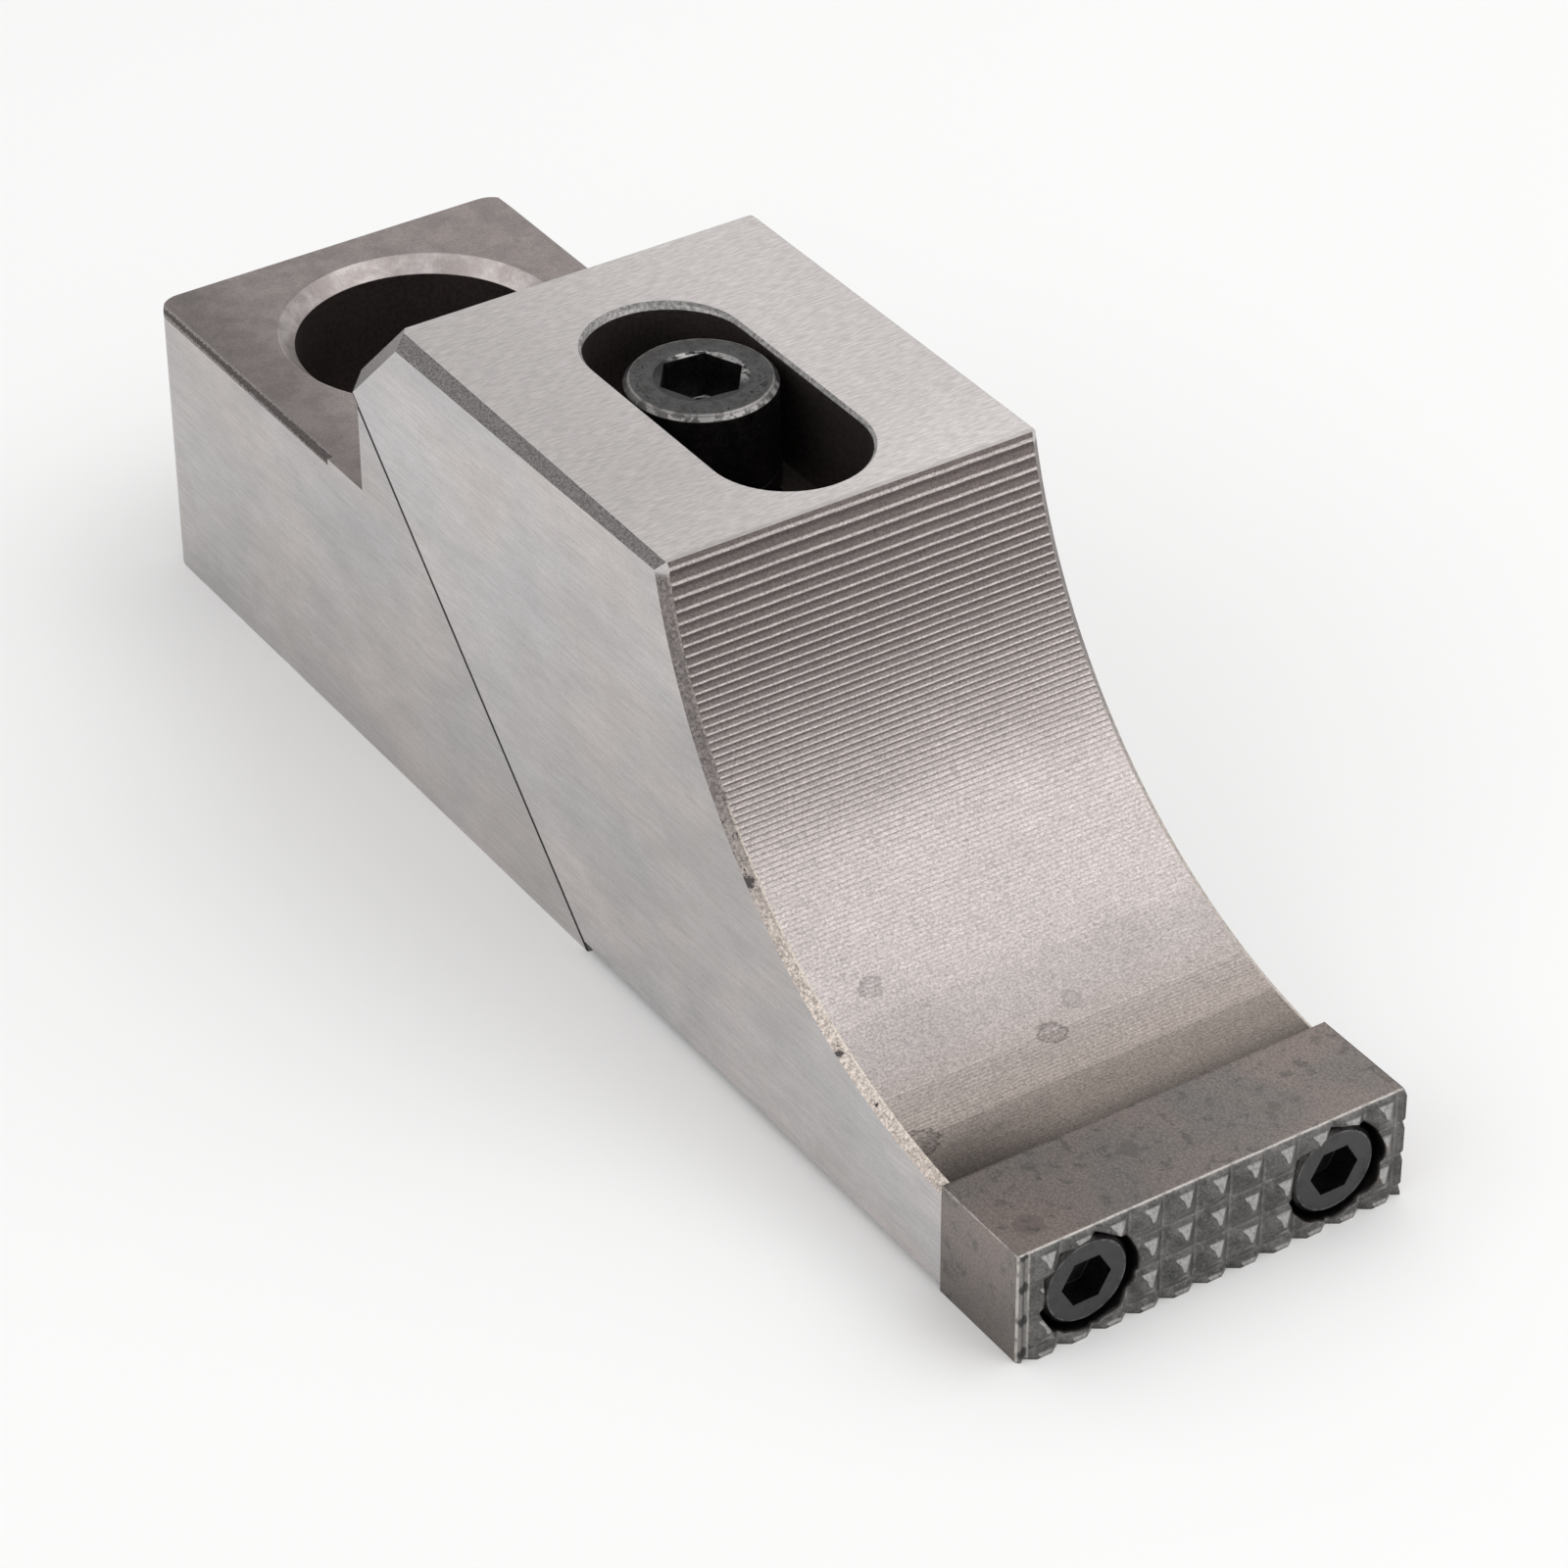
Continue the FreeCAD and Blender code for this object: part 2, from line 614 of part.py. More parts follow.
def make_insert_screws():
    forward = FreeCAD.Rotation(FreeCAD.Vector(0, 1, 0), 90)
    screws = []
    for label, across in (("near", INSERT_SCREW_NEAR), ("far", INSERT_SCREW_FAR)):
        placement = {
            "rotation": forward,
            "x": COUNTERBORE_FLOOR,
            "y": across,
            "z": INSERT_SCREW_Z,
        }
        screws.append(make_screw(f"insert_screw_{label}", "insert_screw", "insert_head",
                                 "Sizes.insert_screw_length", placement, "90"))
    return screws


def make_washer():
    body = new_body("clamp_washer")
    rings = new_sketch(body, "washer_circles", "XY_Plane", f"{SLOT_FLOOR} + Sizes.slide_gap")
    add_circle(rings, SCREW_X, "0", "Sizes.washer_width / 2")
    add_circle(rings, SCREW_X, "0", "Sizes.washer_hole / 2")
    plate = body.newObject("PartDesign::Pad", "washer_plate")
    plate.Profile = rings
    plate.setExpression("Length", "Sizes.washer_thickness")
    return body


pieces = [make_base(), make_jaw(), make_clamp_screw(), make_washer(), make_insert()]
pieces += make_insert_screws()
doc.recompute()

for item in doc.Objects:
    if "Invalid" in item.State or "Error" in item.State:
        raise ValueError(f"{item.Label} did not build: {item.State}")
for piece in pieces:
    if piece.Shape.isNull() or not piece.Shape.isValid() or len(piece.Shape.Solids) != 1:
        raise ValueError(f"{piece.Label} is not one valid solid")

os.makedirs("parts", exist_ok=True)
for piece in pieces:
    piece.Shape.exportStep(f"parts/{piece.Label}.step")
    box = piece.Shape.BoundBox
    print(piece.Label, round(piece.Shape.Volume, 1),
          [round(number, 2) for number in (box.XMin, box.XMax, box.YMin, box.YMax, box.ZMin, box.ZMax)])
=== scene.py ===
import math

import bpy
from mathutils import Matrix, Vector

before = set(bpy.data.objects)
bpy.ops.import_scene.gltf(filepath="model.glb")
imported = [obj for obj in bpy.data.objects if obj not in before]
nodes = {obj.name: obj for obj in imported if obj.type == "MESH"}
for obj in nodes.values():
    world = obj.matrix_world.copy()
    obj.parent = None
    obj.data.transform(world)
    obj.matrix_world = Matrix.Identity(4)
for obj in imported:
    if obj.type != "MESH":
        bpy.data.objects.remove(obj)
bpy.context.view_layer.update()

MM_PER_METRE = 1000
HALF_ROOT = 0.7071

# Sizes and places in millimetres that the materials share
HALF_WIDTH = 22.5
BASE_TOP = 33.5
NOSE_X = 70.0
BORE_RADIUS = 14.25
MOUTH_RADIUS = 15.95

JAW_TOP = 56.5
ARC_X = 140.5
ARC_Z = 68.8
ARC_RADIUS = 56.2
PASS_START = 54.838
PASS_STEP = 0.4
SLOT_REAR = 51.15
SLOT_FRONT = 74.05
SLOT_RADIUS = 8.6

SCREW_X = 58.0
HEAD_TOP = 56.2
HEAD_SEAT = 46.2
HEAD_RADIUS = 8.0
THREAD_PITCH = 1.5

GROOVE_FLOOR_X = 147.0
INSERT_TOP = 13.0
TOOTH_PITCH = 4.0
FIRST_GROOVE_Y = -21.6
FIRST_GROOVE_Z = 1.0
END_STRIP_Y = -21.3
SMALL_SCREW_MIDDLE_Y = 0.35
SMALL_SCREW_REACH_Y = 14.75
SMALL_SCREW_Z = 6.4


# Camera at the photo's angle

def place_camera():
    azimuth = math.radians(56.977)
    elevation = math.radians(35.462)
    roll = math.radians(-0.343)
    right = Vector((math.cos(azimuth), math.sin(azimuth), 0))
    back = Vector((math.sin(azimuth) * math.cos(elevation), -math.cos(azimuth) * math.cos(elevation),
                   math.sin(elevation)))
    up = back.cross(right)
    turned_right = math.cos(roll) * right + math.sin(roll) * up
    turned_up = -math.sin(roll) * right + math.cos(roll) * up
    data = bpy.data.cameras.new("photo_camera")
    data.sensor_width = 36
    data.lens = 127.0
    camera = bpy.data.objects.new("photo_camera", data)
    place = Matrix.Translation((0.46537, -0.25506, 0.34770))
    turn = Matrix((turned_right, turned_up, back)).transposed().to_4x4()
    camera.matrix_world = place @ turn
    bpy.context.scene.collection.objects.link(camera)
    bpy.context.scene.camera = camera


# Soft studio: pale floor, pale surroundings and large lights

def add_light(name, place, target, size, power):
    data = bpy.data.lights.new(name, "AREA")
    data.shape = "RECTANGLE"
    data.size = size[0]
    data.size_y = size[1]
    data.energy = power
    light = bpy.data.objects.new(name, data)
    light.location = place
    direction = Vector(target) - Vector(place)
    light.rotation_euler = direction.to_track_quat("-Z", "Y").to_euler()
    bpy.context.scene.collection.objects.link(light)


def make_studio():
    world = bpy.data.worlds.new("studio")
    bpy.context.scene.world = world
    world.use_nodes = True
    background = world.node_tree.nodes["Background"]
    background.inputs["Color"].default_value = (1, 0.995, 0.99, 1)
    background.inputs["Strength"].default_value = 0.785

    bpy.ops.mesh.primitive_plane_add(size=8, location=(0.06, 0, 0))
    floor = bpy.context.object
    floor.name = "floor"
    floor_paint = bpy.data.materials.new("floor_paint")
    floor_paint.use_nodes = True
    shader = floor_paint.node_tree.nodes["Principled BSDF"]
    shader.inputs["Base Color"].default_value = (0.92, 0.92, 0.92, 1)
    shader.inputs["Roughness"].default_value = 0.9
    shader.inputs["Specular IOR Level"].default_value = 0.1
    floor.data.materials.append(floor_paint)

    add_light("key_ahead", (0.42, 0.45, 0.92), (0.08, 0, 0.02), (1.0, 0.8), 3.6)
    add_light("fill_near", (0.1, -1.0, 0.7), (0.06, 0, 0.02), (1.2, 0.8), 2.15)


# Node helpers for the materials. A mask is a number from 0 to 1 over the surface.

class Graph:
    """Short names for building one material's nodes; places are in millimetres."""

    def __init__(self, name):
        self.material = bpy.data.materials.new(name)
        self.material.use_nodes = True
        self.tree = self.material.node_tree
        self.shader = self.tree.nodes["Principled BSDF"]
        scale = self.node("ShaderNodeVectorMath", operation="SCALE")
        self.link(self.node("ShaderNodeTexCoord").outputs["Object"], scale.inputs[0])
        scale.inputs["Scale"].default_value = MM_PER_METRE
        self.place = scale.outputs[0]
        self.x, self.y, self.z = self.split(self.place)
        normal = self.node("ShaderNodeNewGeometry").outputs["Normal"]
        self.nx, self.ny, self.nz = self.split(normal)

    def node(self, kind, **settings):
        made = self.tree.nodes.new(kind)
        for key, setting in settings.items():
            setattr(made, key, setting)
        return made

    def link(self, source, target):
        if hasattr(source, "links"):
            self.tree.links.new(source, target)
        else:
            target.default_value = source

    def split(self, vector):
        made = self.node("ShaderNodeSeparateXYZ")
        self.link(vector, made.inputs[0])
        return made.outputs

    def math(self, operation, first, second=0.0):
        made = self.node("ShaderNodeMath", operation=operation)
        self.link(first, made.inputs[0])
        self.link(second, made.inputs[1])
        return made.outputs[0]

    def add(self, first, second):
        return self.math("ADD", first, second)

    def take(self, first, second):
        return self.math("SUBTRACT", first, second)

    def times(self, first, second):
        return self.math("MULTIPLY", first, second)

    def share(self, first, second):
        return self.math("DIVIDE", first, second)

    def size(self, source):
        return self.math("ABSOLUTE", source)

    def both(self, *masks):
        """Product of masks and shares."""
        result = masks[0]
        for mask in masks[1:]:
            result = self.math("MULTIPLY", result, mask)
        return result

    def either(self, *masks):
        """Highest of the masks."""
        result = masks[0]
        for mask in masks[1:]:
            result = self.math("MAXIMUM", result, mask)
        return result

    def ramp(self, source, low, high, bottom=0.0, top=1.0, smooth=True):
        """From bottom to top while the source runs from low to high."""
        made = self.node("ShaderNodeMapRange")
        made.interpolation_type = "SMOOTHSTEP" if smooth else "LINEAR"
        for index, number in enumerate((source, low, high, bottom, top)):
            self.link(number, made.inputs[index])
        return made.outputs[0]

    def vary(self, noise, bottom=0.0, top=1.0):
        """A noise's usual spread, taken to a range of its own."""
        return self.ramp(noise, 0.3, 0.7, bottom, top)

    def stops(self, source, *steps):
        """A colour that changes along a number, from (number, colour) pairs."""
        low = steps[0][0]
        high = steps[-1][0]
        made = self.node("ShaderNodeValToRGB")
        self.link(self.ramp(source, low, high, smooth=False), made.inputs[0])
        elements = made.color_ramp.elements
        for number, _ in steps[1:-1]:
            elements.new((number - low) / (high - low))
        for element, (_, colour) in zip(elements, steps):
            element.color = colour
        return made.outputs[0]

    def near(self, source, centre, reach):
        """1 at a value, falling to 0 at a reach to either side."""
        distance = self.size(self.take(source, centre))
        return self.ramp(distance, reach * 0.5, reach, 1.0, 0.0)

    def distance(self, first, second):
        total = self.add(self.times(first, first), self.times(second, second))
        return self.math("SQRT", total)

    def ragged(self, first, second, noise, spread):
        """Distance from a place, made uneven by a noise."""
        distance = self.distance(first, second)
        return self.add(distance, self.vary(noise, -spread, spread))

    def noise(self, scale, stretch, detail, roughness, bend=0.0):
        """Noise with a number of features to the millimetre along each axis."""
        mapping = self.node("ShaderNodeMapping")
        mapping.inputs["Scale"].default_value = [scale * part for part in stretch]
        self.link(self.place, mapping.inputs["Vector"])
        made = self.node("ShaderNodeTexNoise")
        self.link(mapping.outputs[0], made.inputs["Vector"])
        made.inputs["Scale"].default_value = 1.0
        made.inputs["Detail"].default_value = detail
        made.inputs["Roughness"].default_value = roughness
        made.inputs["Distortion"].default_value = bend
        return made.outputs["Fac"]

    def mix(self, factor, first, second, blend="MIX"):
        made = self.node("ShaderNodeMix", data_type="RGBA", blend_type=blend)
        self.link(factor, made.inputs["Factor"])
        self.link(first, made.inputs["A"])
        self.link(second, made.inputs["B"])
        return made.outputs["Result"]

    def blend(self, factor, first, second):
        """Between two plain numbers or number outputs."""
        made = self.node("ShaderNodeMix", data_type="FLOAT")
        self.link(factor, made.inputs["Factor"])
        self.link(first, made.inputs["A"])
        self.link(second, made.inputs["B"])
        return made.outputs["Result"]

    def darker(self, colour, factor):
        """A colour times a number output; above 1 it is paler."""
        made = self.node("ShaderNodeVectorMath", operation="SCALE")
        self.link(colour, made.inputs[0])
        self.link(factor, made.inputs["Scale"])
        return made.outputs[0]

    def bump(self, height, distance, before=None, strength=1.0):
        """Relief whose height of 1 stands for a distance in millimetres."""
        made = self.node("ShaderNodeBump")
        self.link(height, made.inputs["Height"])
        self.link(strength, made.inputs["Strength"])
        made.inputs["Distance"].default_value = distance / MM_PER_METRE
        if before:
            self.link(before, made.inputs["Normal"])
        return made.outputs[0]

    def rounded(self, radius):
        bevel = self.node("ShaderNodeBevel", samples=4)
        bevel.inputs["Radius"].default_value = radius / MM_PER_METRE
        return bevel.outputs[0]

    def finish(self, colour, roughness, normal):
        self.link(colour, self.shader.inputs["Base Color"])
        self.link(roughness, self.shader.inputs["Roughness"])
        self.shader.inputs["Metallic"].default_value = 1.0
        self.link(normal, self.shader.inputs["Normal"])
        return self.material


def tone(level, warmth=0.0):
    """Grey of a given level, with a little more red and less blue."""
    return (level * (1 + 2 * warmth), level, level * (1 - warmth / 2), 1)


def ground_side(graph, level):
    """Ground side faces: very fine streaks, and soft clouds between cool and warm."""
    streaks = graph.noise(5.0, (0.05, 1, 1), 3, 0.6)
    grain = graph.noise(9.0, (0.5, 1, 1), 2, 0.6)
    clouds = graph.noise(0.055, (0.8, 1, 1.2), 3, 0.5, bend=0.6)
    blotches = graph.noise(0.2, (0.6, 1, 1), 4, 0.6, bend=0.3)
    light = graph.mix(graph.vary(streaks), tone(level * 0.93, 0.02), tone(level * 1.07, 0.02))
    light = graph.darker(light, graph.ramp(grain, 0.35, 0.75, 1.05, 0.91))
    light = graph.darker(light, graph.ramp(blotches, 0.32, 0.68, 0.95, 1.05))
    hue = graph.mix(graph.ramp(clouds, 0.35, 0.68), (0.938, 0.952, 0.966, 1), (1.036, 1.02, 1.011, 1))
    return graph.mix(1.0, light, hue, "MULTIPLY"), streaks, clouds


def distance_from_ramp(graph):
    """Distance from the slanted plane on which the jaw slides."""
    return graph.times(graph.take(graph.add(graph.x, graph.z), NOSE_X), HALF_ROOT)


def distance_from_small_screws(graph):
    """Distance from the nearer axis of the insert's two screws, which lie along X."""
    from_middle = graph.size(graph.take(graph.y, SMALL_SCREW_MIDDLE_Y))
    across = graph.take(from_middle, SMALL_SCREW_REACH_Y)
    return graph.distance(across, graph.take(graph.z, SMALL_SCREW_Z))


def base_material():
    graph = Graph("ground_base_steel")
    side, streaks, clouds = ground_side(graph, 0.5)

    # Rolled top: smooth dark brown-grey, darker along the near edge
    patina = graph.noise(0.35, (1, 1, 1), 4, 0.6, bend=0.4)
    speckle = graph.noise(5.0, (1, 1, 1), 2, 0.65)
    rolled = graph.mix(graph.ramp(graph.y, -21, -10), tone(0.19, 0.07), tone(0.28, 0.07))
    rolled = graph.darker(rolled, graph.both(graph.ramp(graph.y, -10, 18, 1.0, 1.08),
                                             graph.ramp(graph.x, 2, 11, 1.0, 1.15)))
    rolled = graph.darker(rolled, graph.vary(patina, 0.88, 1.12))
    rolled = graph.darker(rolled, graph.ramp(speckle, 0.3, 0.75, 1.12, 0.82))
    above = graph.both(graph.ramp(graph.nz, 0.8, 0.95),
                       graph.ramp(graph.z, BASE_TOP - 0.2, BASE_TOP - 0.05))
    colour = graph.mix(above, side, rolled)

    # The step up to the peak stays as machined, and darker
    step = graph.both(graph.ramp(graph.nx, -0.8, -0.95),
                      graph.ramp(graph.z, BASE_TOP - 0.1, BASE_TOP + 0.1), graph.ramp(graph.x, 20, 24))
    colour = graph.mix(step, colour, tone(0.2, 0.05))

    # Broken edges are plain and dark, with a paler line along both of their own edges
    across = graph.distance(graph.x, graph.y)
    grains = graph.noise(2.2, (1, 1, 1), 4, 0.7)
    broken = graph.both(graph.ramp(graph.nz, 0.3, 0.5), graph.ramp(graph.nz, 0.9, 0.8),
                        graph.ramp(graph.z, BASE_TOP - 1.1, BASE_TOP - 0.9),
                        graph.ramp(across, MOUTH_RADIUS + 0.05, MOUTH_RADIUS + 0.45))
    middle = graph.add(BASE_TOP - 0.4, graph.vary(grains, -0.08, 0.08))
    dark_reach = graph.ramp(graph.x, -20, 22, 0.22, 0.42)
    from_middle = graph.size(graph.take(graph.z, middle))
    dark = graph.ramp(from_middle, graph.times(dark_reach, 0.5), dark_reach, 1.0, 0.0)
    plain = graph.mix(dark, tone(0.26, 0.05), tone(0.1, 0.06))
    plain = graph.darker(plain, graph.vary(speckle, 0.65, 1.4))
    colour = graph.mix(broken, colour, plain)

    # The bore's turned mouth and its shaded wall
    mouth = graph.both(graph.ramp(across, MOUTH_RADIUS + 0.15, MOUTH_RADIUS),
                       graph.ramp(graph.z, BASE_TOP - 1.9, BASE_TOP - 1.7))
    mouth_tone_and_highlight = graph.mix(graph.ramp(patina, 0.36, 0.7), tone(0.3, 0.06), tone(0.46, 0.04))
    # Painted highlight: the turned mouth is paler toward its far side.
    mouth_tone_and_highlight = graph.darker(mouth_tone_and_highlight, graph.ramp(graph.y, 2, 14, 1.0, 1.3))
    mouth_tone_and_highlight = graph.darker(mouth_tone_and_highlight, graph.ramp(speckle, 0.3, 0.75, 1.08, 0.88))
    colour = graph.mix(mouth, colour, mouth_tone_and_highlight)
    bore = graph.both(graph.ramp(across, BORE_RADIUS + 0.35, BORE_RADIUS + 0.15),
                      graph.ramp(graph.z, BASE_TOP - 1.6, BASE_TOP - 1.8))
    shaded = graph.mix(graph.vary(grains), tone(0.1, 0.08), tone(0.17, 0.11))
    colour = graph.mix(bore, colour, shaded)

    # Painted shade: a dark line in the seam where the jaw meets the ramp, on the sides only
    seam_shade = graph.near(distance_from_ramp(graph), 0.0, 0.3)
    seam_shade = graph.both(seam_shade, graph.ramp(graph.size(graph.ny), 0.3, 0.5))
    colour = graph.mix(seam_shade, colour, tone(0.03))

    rough = graph.add(graph.blend(above, 0.46, 0.42), graph.vary(clouds, -0.03, 0.03))
    normal = graph.bump(streaks, 0.004)
    normal = graph.bump(speckle, 0.012, normal, graph.both(above, 0.8))
    return graph.finish(colour, rough, normal)


def jaw_material():
    graph = Graph("ground_jaw_steel")
    side, streaks, clouds = ground_side(graph, 0.56)
    cloud = graph.distance(graph.times(graph.take(graph.x, 90), 0.8), graph.take(graph.z, 26))
    side = graph.darker(side, graph.ramp(cloud, 6, 30, 0.89, 1.0))
    away = graph.size(graph.ny)
    grains = graph.noise(2.6, (1, 1, 1), 4, 0.7)
    fine = graph.noise(5.0, (1, 0.7, 1), 3, 0.75)
    specks = graph.noise(2.4, (1, 0.8, 1), 3, 0.7)
    broad = graph.noise(1.0, (1, 0.3, 1), 3, 0.6)

    # Top: short, slightly wavy strokes across
    brushed = graph.noise(4.0, (1, 0.15, 1), 3, 0.62, bend=0.5)
    top_strokes_and_light = graph.mix(graph.ramp(brushed, 0.3, 0.72), tone(0.462, 0.025), tone(0.595, 0.025))
    # Painted light: the top grows paler toward the far side and the front.
    top_strokes_and_light = graph.darker(top_strokes_and_light, graph.both(graph.ramp(graph.y, -20, 16, 1.03, 1.25),
                                                 graph.ramp(graph.x, 70, 86, 1.0, 1.08)))
    top = graph.both(graph.ramp(graph.nz, 0.9, 0.97), graph.ramp(graph.z, JAW_TOP - 0.2, JAW_TOP - 0.1))
    colour = graph.mix(top, side, top_strokes_and_light)

    # Concave front, milled in straight passes across it
    run = graph.take(ARC_X, graph.x)
    drop = graph.take(ARC_Z, graph.z)
    reach = graph.distance(run, drop)
    front = graph.both(graph.ramp(reach, ARC_RADIUS + 0.7, ARC_RADIUS + 0.4),
                       graph.ramp(away, 0.5, 0.35), graph.ramp(graph.z, JAW_TOP + 0.02, JAW_TOP - 0.05))
    along = graph.take(PASS_START, graph.times(ARC_RADIUS, graph.share(run, reach)))
    passes = graph.share(along, PASS_STEP)
    wobble = graph.vary(graph.noise(0.3, (0.2, 1, 0.2), 2, 0.5), -0.015, 0.015)
    part = graph.math("FRACT", graph.add(passes, wobble))
    # Painted light on each pass: a highlight along its crest and shade in the valley below it
    crest_highlight = graph.both(graph.ramp(part, 0.26, 0.4), graph.ramp(part, 0.58, 0.5))
    valley_shade = graph.both(graph.ramp(part, 0.52, 0.62), graph.ramp(part, 1.0, 0.72))
    fade = graph.ramp(passes, 20, 46, 1.0, 0.0)

    # Its tones run from the arc's top down to its foot. They are partly painted light, dark at the top
    # and pale where the highlight falls across the middle, and the brown darkening toward the foot is
    # partly stain and partly painted shade
    milled_tone_and_light = graph.stops(graph.x, (86, tone(0.175, 0.085)), (90, tone(0.195, 0.08)),
                         (96, tone(0.345, 0.06)), (101, tone(0.466, 0.05)), (112, tone(0.443, 0.048)),
                         (119.6, tone(0.375, 0.05)), (126, (0.412, 0.362, 0.337, 1)),
                         (131.5, (0.305, 0.262, 0.237, 1)), (134.4, (0.15, 0.13, 0.118, 1)))
    milled_tone_and_light = graph.mix(graph.both(crest_highlight, fade, 0.95), milled_tone_and_light, tone(0.58, 0.045))
    milled_tone_and_light = graph.mix(graph.both(valley_shade, fade, 0.55), milled_tone_and_light, tone(0.1, 0.08))

    # Thin dark lines of painted shade in the valleys between the passes, missing from pass 94 to 106
    lined = graph.either(graph.ramp(passes, 93, 94, 1.0, 0.0), graph.ramp(passes, 106, 107, 0.0, 0.6))
    lines = graph.both(valley_shade, lined, graph.ramp(broad, 0.25, 0.6, 0.3, 1.0))
    milled_tone_and_light = graph.darker(milled_tone_and_light, graph.blend(lines, 1.0, graph.ramp(passes, 50, 80, 0.76, 0.84)))
    milled_tone_and_light = graph.darker(milled_tone_and_light, graph.ramp(fine, 0.3, 0.72, 0.72, 1.28))
    milled_tone_and_light = graph.darker(milled_tone_and_light, graph.ramp(specks, 0.5, 0.7, 1.03, 0.84))
    milled_tone_and_light = graph.darker(milled_tone_and_light, graph.vary(broad, 0.95, 1.05))
    milled_tone_and_light = graph.darker(milled_tone_and_light, graph.ramp(graph.y, -20, 20, 0.96, 1.04))
    # Painted shade in the near corner of the arc's foot, beside the insert
    near_foot_shade = graph.both(graph.ramp(graph.y, -4, -20), graph.ramp(graph.x, 127, 133))
    milled_tone_and_light = graph.darker(milled_tone_and_light, graph.blend(near_foot_shade, 1.0, 0.48))

    # Three bands that start darker and fade out again
    for edge_x, depth in ((115.4, 0.95), (123.2, 0.88), (128.3, 0.84)):
        starts = graph.ramp(graph.x, edge_x, edge_x + 0.2, 1.0, depth)
        milled_tone_and_light = graph.darker(milled_tone_and_light, starts)
        fades = graph.ramp(graph.x, edge_x + 2.0, edge_x + 5.0, 1.0, 1.0 / depth)
        milled_tone_and_light = graph.darker(milled_tone_and_light, fades)

    # Faint stains left on the front: a thin uneven outline, greyer inside
    for place_x, place_y, width, strength in ((123.4, -2.0, 1.1, 0.42), (113.0, -15.9, 0.8, 0.3),
                                              (128.8, -20.9, 1.3, 0.5), (120.9, 2.2, 0.7, 0.2)):
        gap = graph.ragged(graph.take(graph.x, place_x),
                           graph.times(graph.take(graph.y, place_y), 0.75), broad, 0.35)
        outline = graph.both(graph.near(gap, width, 0.25), graph.ramp(grains, 0.36, 0.5))
        inside = graph.both(graph.ramp(gap, width, width * 0.7),
                            graph.ramp(grains, 0.45, 0.65, 0.2, 1.0))
        stain = graph.both(graph.either(outline, inside), strength)
        milled_tone_and_light = graph.darker(milled_tone_and_light, graph.take(1.0, stain))
    colour = graph.mix(front, colour, milled_tone_and_light)

    # Broken edges of the front: brown-grey above, beige below, with a few dark pits
    pits = graph.noise(1.3, (1, 1, 1), 4, 0.65)
    strip = graph.both(graph.ramp(reach, ARC_RADIUS + 1.7, ARC_RADIUS + 1.4),
                       graph.ramp(away, 0.45, 0.6), graph.ramp(away, 0.93, 0.85),
                       graph.ramp(graph.z, JAW_TOP - 0.9, JAW_TOP - 1.7))
    strip_tone = graph.mix(graph.ramp(graph.z, 38, 19), tone(0.21, 0.06), (0.565, 0.5, 0.455, 1))
    strip_tone = graph.darker(strip_tone, graph.vary(specks, 1.3, 0.6))
    strip_tone = graph.darker(strip_tone, graph.ramp(fine, 0.32, 0.68, 0.74, 1.22))
    pitted = graph.both(graph.ramp(pits, 0.63, 0.68), graph.ramp(graph.z, 42, 34))
    for place_x, place_z, width in ((100.6, 27.7, 0.75), (98.3, 29.6, 0.5),
                                    (114.4, 19.5, 0.5), (116.6, 17.0, 0.45)):
        gap = graph.ragged(graph.take(graph.x, place_x), graph.take(graph.z, place_z), specks, 0.25)
        pit = graph.both(graph.ramp(gap, width, width - 0.2), graph.ramp(graph.ny, 0, -0.3))
        pitted = graph.either(pitted, pit)
    strip_tone = graph.mix(pitted, strip_tone, tone(0.08, 0.05))
    worn_line = graph.both(graph.near(reach, ARC_RADIUS + 0.05, 0.14), graph.ramp(broad, 0.35, 0.5),
                           graph.ramp(fine, 0.38, 0.55, 0.2, 1.0),
                           graph.ramp(graph.z, 38, 28, 0.25, 1.0))
    strip_tone = graph.mix(worn_line, strip_tone, (0.68, 0.61, 0.54, 1))
    colour = graph.mix(strip, colour, strip_tone)

    # Granular bevels along the top and the rear
    bevel = graph.both(graph.ramp(graph.nz, 0.3, 0.5), graph.ramp(graph.nz, 0.95, 0.85),
                       graph.ramp(away, 0.3, 0.5), graph.ramp(graph.z, JAW_TOP - 1.9, JAW_TOP - 1.7))
    rear_bevel = graph.both(graph.ramp(graph.nx, -0.2, -0.35), graph.ramp(away, 0.4, 0.6))
    bevels = graph.either(bevel, rear_bevel)
    granular = graph.mix(graph.ramp(fine, 0.35, 0.65), tone(0.12, 0.03), tone(0.29, 0.03))
    colour = graph.mix(bevels, colour, granular)

    # Slot: grey broken rim, wider at the rear end, and a shaded wall
    within = graph.math("MINIMUM", graph.math("MAXIMUM", graph.x, SLOT_REAR), SLOT_FRONT)
    slot_gap = graph.distance(graph.take(graph.x, within), graph.y)
    wall = graph.both(graph.ramp(slot_gap, SLOT_RADIUS + 0.4, SLOT_RADIUS + 0.2),
                      graph.ramp(graph.z, JAW_TOP - 0.1, JAW_TOP - 0.3), graph.ramp(graph.z, 1.05, 1.5))
    shaded = graph.mix(graph.vary(grains), tone(0.13, 0.07), tone(0.21, 0.1))
    colour = graph.mix(wall, colour, shaded)
    below = graph.take(JAW_TOP, graph.z)
    depth = graph.ramp(graph.x, 54, 43, 0.45, 0.95)
    rim = graph.both(graph.ramp(slot_gap, SLOT_RADIUS + 0.5, SLOT_RADIUS + 0.35),
                     graph.ramp(graph.nz, 0.95, 0.85),
                     graph.ramp(below, graph.add(depth, 0.1), graph.take(depth, 0.1)))
    rim_tone = graph.mix(graph.ramp(grains, 0.35, 0.65), tone(0.2, 0.01), tone(0.42, 0.02))
    colour = graph.mix(rim, colour, rim_tone)

